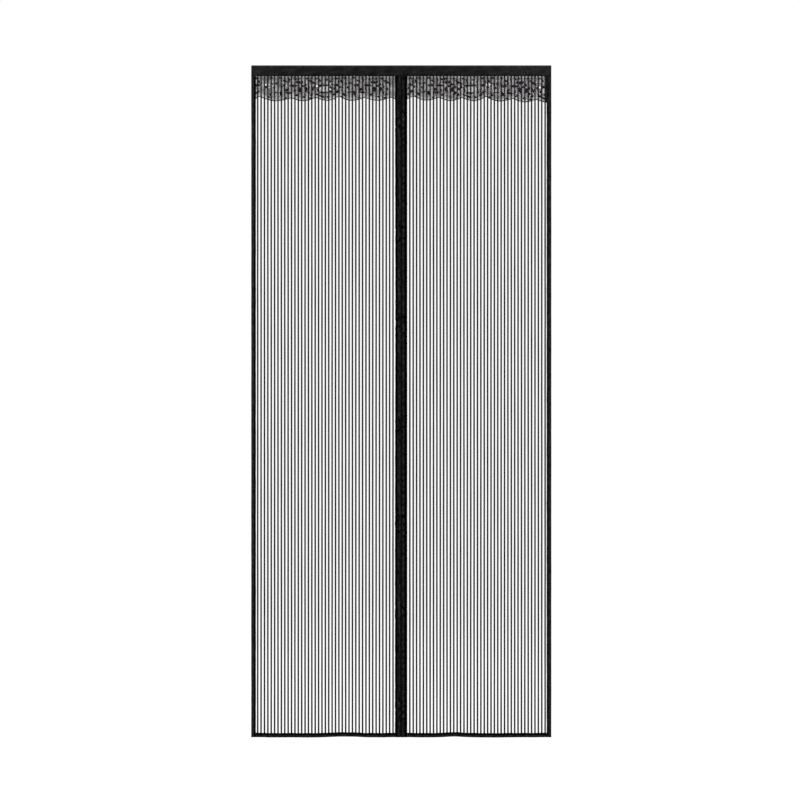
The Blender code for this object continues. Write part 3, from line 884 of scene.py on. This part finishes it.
# %% Both valances
eyelet_margin = 3.0
eyelet_cord_width = 1.3
top_overlap = 3.2
for side, (sign, first_notch, widths, deep_notch, hem, letters) in lace_sides.items():
    scallops = scallops_of(sign, first_notch, widths, deep_notch, letters)
    low, high = sorted((sign * cloth_inner_edge, sign * cloth_outer_edge))
    filled, eyelets = [], []
    for scallop in scallops:
        some_filled, some_eyelets = draw_scallop(scallop)
        filled += some_filled
        eyelets += some_eyelets
    eyelets = [e for e in eyelets if low + eyelet_margin < e[0] < high - eyelet_margin]
    dense_from = side_binding_edge - hem if hem else half_width
    cells = honeycomb(low, high, scallops, filled, eyelets, dense_from)
    parts = [cell_mesh(*cells, scallops, eyelets)]
    ground_faces = 6 * int((~cells[2]).sum())
    for outline in filled:
        if outline[:, 0].min() > low + 1 and outline[:, 0].max() < high - 1:
            parts.append(raised_cord(outline, cord_width, cord_rise, True))
    for x, drop, radius in eyelets:
        ring = ring_outline(x, drop, radius + 0.5)
        parts.append(raised_cord(ring, eyelet_cord_width, cord_rise, True))
    for *shape, width in vines:
        parts.append(raised_cord(vine_line(low, high, *shape), width, cord_rise, False))
    edge_x = np.arange(low, high, edge_cord_step)
    edge = np.stack([edge_x, edge_drop(scallops, edge_x) - edge_cord_inset], 1)
    parts.append(raised_cord(edge, edge_cord_width, edge_cord_rise, False))
    parts += picot_loops(low, high, scallops)
    corners = ((low, 1), (high, 1), (high, 0), (low, 0))
    levels = (header_bottom_z + top_overlap, tucked_top_z)
    top = np.array([[x, lace_middle, levels[upper]] for x, upper in corners])
    parts.append((top, [[0, 1, 2, 3]]))
    points, faces = join_meshes(parts)
    which = np.ones(len(faces), int)
    which[:ground_faces] = 0
    points = hang(set_askew(points, side))
    finishes = [material["lace_yarn"], material["lace_cord"]]
    name, solid = f"{side}_lace_valance", f"{side}_lace"
    make_piece(name, points, faces, finishes, "lace", [solid], which)
    print(side, "cells", len(cells[0]), "filled", int(cells[2].sum()))

# %% [markdown]
# ## Ribbons
# The header, the bindings and the two centre bands are one kind of ribbon, folded lengthwise round
# the cloth. A solid with a weave would look like a strip of card. Here the ribbon's middle line is
# bent through its fold at many stations, each a little different, and given its thickness after.
# Each point also carries a tone that paints shade and highlights into the ribbon's colour, along
# with its random blotches.


# %% Folding a ribbon
fold_steps = 7
fold_sharp_angle = 50


def fold_line(start, end, middle, radius):
    """Points round a fold in (across, depth), from the back ply to the front ply."""
    turn = np.linspace(start, end, fold_steps)
    return np.stack([middle[0] + radius * np.cos(turn), middle[1] + radius * np.sin(turn)], -1)


def in_place(across, depth, along, axis, sign):
    """Points of a ribbon that runs along x or z, from places across it and along it."""
    if axis == "x":
        return np.stack([sign * along, depth, across], -1)
    return np.stack([sign * across, depth, along], -1)


def loft_ribbon(lines, stations, axis, sign):
    """A closed ribbon through many folded lines: lines is (stations, points, 2) in mm."""
    run = np.gradient(lines, axis=1)
    run /= np.linalg.norm(run, axis=2, keepdims=True)
    side = np.stack([-run[..., 1], run[..., 0]], -1) * ribbon_thickness / 2
    ring = np.concatenate([lines + side, (lines - side)[:, ::-1]], axis=1)
    rows, count = ring.shape[:2]
    along = np.broadcast_to(stations[:, None], (rows, count))
    points = in_place(ring[..., 0], ring[..., 1], along, axis, sign)
    faces = tube_faces(rows, count)[:-2]
    half = count // 2
    for base in (0, (rows - 1) * count):
        for i in range(half - 1):
            faces.append([base + i, base + i + 1, base + count - 2 - i, base + count - 1 - i])
    return points.reshape(-1, 3), faces


def both_faces(values):
    """Values for a ribbon's middle line, repeated for its outer and inner faces."""
    return np.concatenate([values, values[:, ::-1]], axis=1).ravel()


def keep_fold(lines, stations, front, axis, sign):
    """A ribbon's outer face, in order along and across, kept for the thread that is sewn on it."""
    order = np.argsort(stations)
    ply = lines[order][:, -front:]
    if ply[0, 0, 0] > ply[0, -1, 0]:
        ply = ply[:, ::-1]
    depth = ply[..., 1] + ribbon_thickness / 2
    return {"across": ply[..., 0], "depth": depth, "stations": stations[order], "place": (axis, sign)}


folds = {}


def fold_section(edge, inside, back, arc, across, depth):
    """A ribbon's middle line at one station: its back ply, round the fold, then its front ply."""
    return [[edge, back], [inside, back], *arc.tolist(), *np.stack([across, depth], 1).tolist()]


def make_ribbon(key, solid, slot, lines, tones, stations, front, axis, sign=1.0, hung=False):
    """A ribbon piece in place of its solid, with its outer face kept for the sewing."""
    lines = np.array(lines)
    folds[key] = keep_fold(lines, stations, front, axis, sign)
    points, faces = loft_ribbon(lines, stations, axis, sign)
    if hung:
        points = hang(points)
    look = {"painted_light_and_tone": both_faces(np.array(tones)), "sharp": fold_sharp_angle}
    return make_piece(f"{key}_fold", points, faces, [material[slot]], slot, [solid], **look)


# %% The header
header_stations = np.linspace(-half_width, half_width, 301)
header_rows = 22
woven_line_gap = 6.0
header_radius = (header_front_ply - header_back_ply) / 2
header_edge_lift = 0.12
header_edge_waver = 0.35
header_stand = 0.12
woven_line_light = 0.2
header_blotch = 0.36
header_edge_blotch = 0.75
header_edge_dark = 0.24
header_end_dark = 0.75
header_end_reach = 5.0
header_left_light = 0.35
header_right_light = 0.75
header_top_painted_highlight = 2.9


def make_header():
    """The header's ribbon over the top of every layer, with a soft lower edge."""
    x = header_stations
    lower = header_bottom_z + header_edge_lift + header_edge_waver * wander(x, 34.0, 61)
    turning_point = (tucked_top_z, (header_front_ply + header_back_ply) / 2)
    arc = fold_line(-np.pi / 2, np.pi / 2, turning_point, header_radius)
    lines, tones = [], []
    for i, here in enumerate(x):
        front = np.linspace(tucked_top_z, lower[i], header_rows)[1:]
        puff = 0.28 * crumple(here, front, 30.0, 62) + 0.16 * crumple(here, front * 3, 11.0, 63)
        puff = puff * smooth(0, 5, front - lower[i]) * smooth(0, 4, tucked_top_z - front)
        depth = header_front_ply + header_stand + np.abs(puff)
        lines.append(fold_section(header_bottom_z, 0.0, header_back_ply, arc, front, depth))
        end = np.exp(-(half_width - abs(here)) / header_end_reach)
        low_edge = 1 - smooth(1.5, 8.5, front - lower[i])
        blotch = header_blotch * crumple(here * 0.3, front, 13.0, 64)
        blotch = blotch + header_edge_blotch * low_edge * crumple(here, front, 12.0, 65)
        woven_lines = np.cos(2 * np.pi * (front - 1.2) / woven_line_gap) * smooth(-4.0, -1.0, front)
        blotch = blotch + woven_line_light * woven_lines
        face = 1.0 - header_edge_dark * low_edge - header_end_dark * end + blotch
        face = face + header_right_light * smooth(190.0, 400.0, here)
        face = face + header_left_light * (1 - smooth(-425.0, -385.0, here))
        # Painted highlight along the rounded top fold, fading out towards the ends.
        face = face + header_top_painted_highlight * (1 - smooth(0.0, 3.0, tucked_top_z - front)) * (1 - end)
        # The arc of the top fold is painted lighter still, as a highlight, and weaker at the ends.
        tones.append([0.5, 0.8] + [4.0 - 3.6 * end] * fold_steps + np.clip(face, 0, 4.6).tolist())
    names = ("header_ribbon", "header_band", "header_ribbon")
    return make_ribbon(*names, lines, tones, x, header_rows - 1, "x")


header = make_header()


# %% [markdown]
# ### Side bindings
# The same ribbon folded round each outer edge. It wavers a little, because it was sewn to cloth that
# gives. The inner margin beside the seam is pressed flat, and painted shade makes it darker than the
# padded fold.

# %% Side bindings
binding_stations = np.concatenate(
    [np.linspace(tucked_top_z, -108.0, 36), np.arange(-113.0, bottom_z + 3, -4.2), [bottom_z]]
)
lace_end_z = header_bottom_z - scallop_tip_drop - most_askew - 2.0
lace_end_slope = 15.0
seam_margin = 5.2
binding_reach = {"left": (0.95, 0.8), "right": (0.55, 1.25)}
binding_shade = {"left": 1.38, "right": 1.24}
binding_painted_margin_tone = {"left": 0.0, "right": 0.45}
binding_seeds = {"left": 70, "right": 80}


def flat_front(z):
    """Depth of a binding's front ply: over the lace, then lower on the net."""
    return net_ply + (lace_ply - net_ply) * smooth(lace_end_z - lace_end_slope, lace_end_z, z)


def make_side_binding(side, sign):
    """One side's binding, with a wavering edge and a sewn margin darkened by painted shade."""
    seed = binding_seeds[side]
    painted_margin_tone = binding_painted_margin_tone[side]
    outward, inward = binding_reach[side]
    z = binding_stations
    outer = 0.18 * wander(z, 330.0, seed) + outward
    inner = 0.30 * wander(z, 150.0, seed + 1) - inward
    lines, tones = [], []
    for i, here in enumerate(z):
        front = float(flat_front(here))
        radius = (front - back_ply) / 2
        nose = half_width - ribbon_thickness / 2 - radius + outer[i]
        edge = side_binding_edge + inner[i]
        margin = edge + seam_margin * np.array((0.8, 0.45, 0.0))
        across = np.concatenate([np.linspace(nose, edge + seam_margin, 7)[1:], margin])
        held = smooth(seam_margin - 0.6, seam_margin + 1.4, across - edge)
        padding = 0.35 + 0.30 * crumple(across, here, 26.0, seed + 2)
        puff = held * smooth(0, 2.0, nose - across) * padding
        arc = fold_line(-np.pi / 2, np.pi / 2, (nose, back_ply + radius), radius)
        lines.append(fold_section(edge, (edge + nose) / 2, back_ply, arc, across, front + np.abs(puff)))
        shade = binding_shade[side] + 0.34 * crumple(across, here, 26.0, seed + 3)
        # Painted shade: the flat margin beside the seam is darker than the padded fold.
        face = (painted_margin_tone + (1 - painted_margin_tone) * held) * shade
        tones.append([0.1, 0.8] + [1.12] * fold_steps + np.clip(face, 0, 1.9).tolist())
    names = (f"{side}_side", f"{side}_side_binding", "binding_ribbon")
    return make_ribbon(*names, lines, tones, z, len(across), "z", sign)


side_bindings = {side: make_side_binding(side, sign) for side, sign in sides}


# %% [markdown]
# ### Centre bands
# Each panel's inner edge is a ribbon folded into a tunnel. Where a magnet fills it the ribbon is
# stretched smooth and stands proud, with a painted highlight. Just past the magnet it is pinched, and
# tension folds run off slantwise, crossing like an X where two magnets pull together. Cloth simulation
# could find folds like these, but not in the places where they are seen, so they are drawn as soft
# ridges, with their light and shade painted into the ribbon's colour. The valley between the two bands
# and the margin beside the seam are darkened with painted shade.

# %% How the tunnel stands along its height
magnet_reach = 23.0
pinch_reach = 12.0
empty_sink = 1.0
pinch_sink = 1.4


def tunnel_front(z):
    """Depth of the tunnel's front: flat in the header, full at magnets, pinched beside them."""
    depth = np.full(z.shape, magnet_ply - empty_sink)
    for height in magnet_heights:
        off = np.abs(z - height)
        pinch = np.exp(-(((off - magnet_reach - pinch_reach) / 9.0) ** 2)) * (pinch_sink - empty_sink)
        depth = np.where(off < magnet_reach + 30, depth - pinch, depth)
        over_magnet = 1 - smooth(magnet_reach - 2, magnet_reach + 8, off)
        depth = np.maximum(depth, magnet_ply - empty_sink - pinch + empty_sink * over_magnet)
    below_lace = smooth(lace_end_z - lace_end_slope, lace_end_z, z)
    return depth * (1 - below_lace) + lace_ply * below_lace


def fullness(z):
    """1 over a magnet and 0 away from them."""
    total = np.zeros(z.shape)
    for height in magnet_heights:
        total = np.maximum(total, 1 - smooth(magnet_reach - 4, magnet_reach + 12, np.abs(z - height)))
    return total


def tension_folds(across, z, seed):
    """Slanting ridges and furrows that run off each magnet's ends, crossing one another."""
    luck = np.random.default_rng(seed)
    total = np.zeros(across.shape)
    for height in magnet_heights:
        for fold in range(10):
            start_a = luck.uniform(1.0, 12.0)
            start_z = height + luck.uniform(-32.0, 32.0)
            tilt = luck.uniform(0.6, 2.2) * (-1.0) ** fold
            reach = luck.uniform(4.5, 10.0)
            wide = luck.uniform(1.5, 2.4)
            strength = luck.uniform(0.7, 1.2) * (-1.0 if fold % 3 else 0.9)
            size = math.hypot(1.0, tilt)
            da, dz = across - start_a, z - start_z
            off = (da * tilt - dz) / size
            on = (da + dz * tilt) / size
            total = total + strength * np.exp(-((off / wide) ** 2) - (on / reach) ** 2)
    return np.clip(total, -1.3, 1.3)


# %% Centre bands
band_stations = np.concatenate(
    [np.linspace(tucked_top_z, -95.0, 36), np.arange(-97.8, bottom_z + 2, -2.8), [bottom_z]]
)
band_margin = 3.4
nose_touch = 0.25
band_extra = {"left": 1.55, "right": 0.2}
band_shade = {"left": 0.96, "right": 1.02}
band_waist = {"left": 1.05, "right": 0.0}
# Across the band, where the painted shade of its margin begins.
band_painted_shade_from = {"left": 11.7, "right": 9.4}
band_slack = {"left": 1.3, "right": 0.35}
band_seeds = {"left": 90, "right": 130}


def make_centre_band(side, sign):
    """One panel's centre band, with its tunnel and seam, and painted shade on its margin and valley."""
    seed = band_seeds[side]
    z = band_stations
    full = fullness(z)
    lean = (0.15 - 1.0 * (1 - smooth(-1600.0, -1200.0, z))) * (1 - full)
    nose_drift = sign * (lean + 0.35 * wander(z, 240.0, 91) + 0.42 * full * wander(z, 60.0, 92))
    waver = 0.30 * wander(z, 90.0, seed + 1) + 0.6 * full * wander(z, 45.0, seed + 5)
    edge_drift = band_slack[side] * waver + band_extra[side]
    edge_drift = edge_drift - band_waist[side] * np.exp(-(((z + 690.0) / 430.0) ** 2))
    # The valley's painted shade wanders over the magnets and follows the nose's lean.
    valley_shade_drift = sign * (2.8 * full * wander(z, 64.0, 93) + 0.5 * wander(z, 150.0, 94) - 1.4 * lean)
    slow = band_shade[side] + 0.18 * wander(z, 150.0, seed + 6)
    front = tunnel_front(z)
    lines, tones = [], []
    for i, here in enumerate(z):
        flat = float(flat_front(here))
        radius = (front[i] - back_ply) / 2
        nose = nose_touch + radius + nose_drift[i]
        edge = centre_band_width + edge_drift[i]
        seam = edge - band_margin
        beyond_seam = [seam + 0.1, seam + 0.8, (seam + edge) / 2 + 0.4, edge]
        across = np.concatenate([np.linspace(nose, seam - 0.5, 15)[1:], beyond_seam])
        hold = 1 - smooth(seam - 2.4, seam, across)
        crown = 0.55 * full[i] + 0.30
        arch = np.sin(np.pi * np.clip((across - nose) / (seam - nose), 0, 1)) ** 0.8
        free = smooth(0.0, 3.0, across - nose) * hold * smooth(0, 10, header_bottom_z - here)
        creases = tension_folds(across, here, seed + 2)
        small = crumple(across, here, 13.0, seed + 3)
        ridges = 1.2 * np.maximum(creases, -0.3 - 0.6 * (1 - full[i])) + 0.18 * np.abs(small)
        lift = crown * arch * hold + free * ridges
        margin = (1 - hold) * (0.08 + 0.22 * np.abs(crumple(across, here, 9.0, seed + 4)))
        depth = flat + (front[i] - flat) * hold + np.maximum(lift, -0.9 * (1 - full[i])) + margin
        arc = fold_line(3 * np.pi / 2, np.pi / 2, (nose, back_ply + radius), radius)
        lines.append(fold_section(edge, (edge + nose) / 2, back_ply, arc, across, depth))
        # Painted shade darkens the band from the tunnel's side slope to its edge, and the valley by the nose.
        dark = band_painted_shade_from[side] + 0.5 * (edge_drift[i] - band_extra[side])
        tunnel = 1 - smooth(dark - 1.5, dark + 0.9, across)
        painted_valley_shade = 0.40 + 0.60 * smooth(1.0, 4.4, across + valley_shade_drift[i])
        # Painted light and shade of the folds: lighter on their ridges, darker in their furrows.
        painted_fold_light = 1 + (0.6 + 0.7 * full[i]) * creases + (0.52 + 0.1 * full[i]) * small
        # Painted highlight: the ribbon is lighter over each magnet.
        face = tunnel * painted_valley_shade * (slow[i] + 0.14 * full[i]) * painted_fold_light
        # The nose of the fold, in the valley between the bands, is painted dark as shade.
        nose_painted_shade = np.linspace(0.4, 0.3, fold_steps).tolist()
        tones.append([0.0, 0.4] + nose_painted_shade + np.clip(face, 0, 2.7).tolist())
    names = (f"{side}_centre", f"{side}_centre_band", "binding_ribbon")
    return make_ribbon(*names, lines, tones, z, len(across), "z", sign)


centre_bands = {side: make_centre_band(side, sign) for side, sign in sides}

# %% Bottom bindings
hem_stations = np.linspace(centre_band_width + 0.3, side_binding_edge - 0.3, 161)
hem_seeds = {"left": 160, "right": 170}


def make_bottom_binding(side, sign):
    """The hem: ribbon round the net's lower edge, drawn up where the net is."""
    seed = hem_seeds[side]
    x = hem_stations
    upper = bottom_z + bottom_binding_height + 0.6 + 0.4 * wander(x, 50.0, seed)
    radius = (net_ply - back_ply) / 2
    arc = fold_line(3 * np.pi / 2, np.pi / 2, (net_bottom_z, back_ply + radius), radius)
    lines, tones = [], []
    for i, here in enumerate(x):
        front = np.linspace(net_bottom_z, upper[i], 10)[1:]
        below = upper[i] - front
        held = smooth(5.4, 7.2, below)
        padding = 0.35 + 0.3 * np.abs(crumple(here, front, 22.0, seed + 1))
        puff = held * smooth(0, 2, front - net_bottom_z) * padding
        lines.append(fold_section(upper[i], bottom_z + 6.0, back_ply, arc, front, net_ply + puff))
        blotch = crumple(here, front, 14.0, seed + 2)
        # Painted shade: the flat margin along the upper edge, by the seam, is darker than the padded fold.
        face = 0.22 * np.maximum(blotch, 0) + held * (1.0 + 0.35 * blotch)
        tones.append([0.1, 0.7] + [1.15] * fold_steps + np.clip(face, 0, 1.6).tolist())
    names = (f"{side}_hem", f"{side}_bottom_binding", "binding_ribbon")
    return make_ribbon(*names, lines, tones, x, len(front), "x", sign, hung=True)


bottom_bindings = {side: make_bottom_binding(side, sign) for side, sign in sides}

# %% [markdown]
# ## Sewing
# Two kinds of seam hold the ribbons. A running stitch shows as a row of short raised dashes, and the
# margins are overlocked with slanting threads that wrap the raw edge. Bump would be enough from far
# away, but it has no outline against the light, so each stitch is a thin thread of its own that lies
# on the ribbon's outer face and dips in at both ends.

# %% Threads on a fold
stitch_length = 2.7
stitch_pitch = 3.5
stitch_size = 0.40
overlock_pitch = 2.1
overlock_slant = 1.3
overlock_size = 0.36
thread_sink = 0.12
thread_rise = 0.10


def lie_on(fold, across, along):
    """Depth of a fold's outer face at places across it and along it."""
    row = np.interp(along, fold["stations"], np.arange(len(fold["stations"])))
    low = np.clip(row.astype(int), 0, len(fold["stations"]) - 2)
    depth = np.zeros(len(row))
    for i, (place, k, share) in enumerate(zip(across, low, row - low)):
        ends = [np.interp(place, fold["across"][k + j], fold["depth"][k + j]) for j in (0, 1)]
        depth[i] = ends[0] * (1 - share) + ends[1] * share
    return depth


def lay_threads(fold, starts, ends, size):
    """One thread from each start to its end, both (across, along), bowed over the ribbon."""
    shares = np.array((0.0, 0.5, 1.0))
    places = starts[:, None] + (ends - starts)[:, None] * shares[None, :, None]
    depth = lie_on(fold, places[..., 0].ravel(), places[..., 1].ravel()).reshape(places.shape[:2])
    depth = depth + np.array((-thread_sink, thread_rise, -thread_sink))
    return thread_tubes(in_place(places[..., 0], depth, places[..., 1], *fold["place"]), size)


def edge_line(fold, inner):
    """The place of the ribbon's free edge along it: its lowest across, or its highest."""
    return lambda along: np.interp(along, fold["stations"], fold["across"][:, -1 if inner else 0])


def running_stitch(fold, line, offset, first, last):
    """A row of dashes beside a line that gives the place across for each place along."""
    along = np.arange(first, last - stitch_length, stitch_pitch)
    starts, ends = (np.stack([line(t) + offset, t], 1) for t in (along, along + stitch_length))
    return lay_threads(fold, starts, ends, stitch_size)


def overlock(fold, line, near, far, first, last):
    """Slanting threads over a margin, from near to far beside its line."""
    along = np.arange(first, last - overlock_slant, overlock_pitch)
    after = along + overlock_slant
    starts = np.stack([line(along) + near, along], 1)
    ends = np.stack([line(after) + far, after], 1)
    return lay_threads(fold, starts, ends, overlock_size)


def sew(name, rows, margin, slot, hung=False):
    """One piece from rows of stitches and an overlocked margin."""
    points, faces = join_meshes(rows + [margin])
    which = np.ones(len(faces), int)
    which[: sum(len(part[1]) for part in rows)] = 0
    threads = [material["seam_thread"], material["overlock_thread"]]
    return make_piece(name, hang(points) if hung else points, faces, threads, slot, which=which)


# %% Stitching on every ribbon
header_ends = (-half_width + 4.0, half_width - 4.0)
below_header = (bottom_z + 2.0, header_bottom_z - 2.5)
hem_ends = (centre_band_width + 2.5, side_binding_edge - 1.5)
# Place of the row beside the free edge, both ends of the overlock, and first and last place along.
header_seam = (3.0, (-0.9, 1.5), header_ends)
header_top_row = -2.6
seams = {
    "side": (seam_margin - 0.9, (-0.25, 3.2), below_header),
    "centre": (-band_margin - 0.1, (-2.8, 0.25), below_header),
    "hem": (-5.2, (-3.6, 0.25), hem_ends),
}

fold = folds["header_ribbon"]
edge = edge_line(fold, False)
offset, wrap, ends = header_seam
rows = [
    running_stitch(fold, edge, offset, *ends),
    running_stitch(fold, lambda x: np.full(x.shape, tucked_top_z), header_top_row, *ends),
]
sew("header_stitching", rows, overlock(fold, edge, *wrap, *ends), "header_ribbon")
for side, _ in sides:
    for kind, (offset, wrap, ends) in seams.items():
        fold = folds[f"{side}_{kind}"]
        edge = edge_line(fold, kind != "side")
        rows = [running_stitch(fold, edge, offset, *ends)]
        margin = overlock(fold, edge, *wrap, *ends)
        sew(f"{side}_{kind}_stitching", rows, margin, "binding_ribbon", hung=kind == "hem")
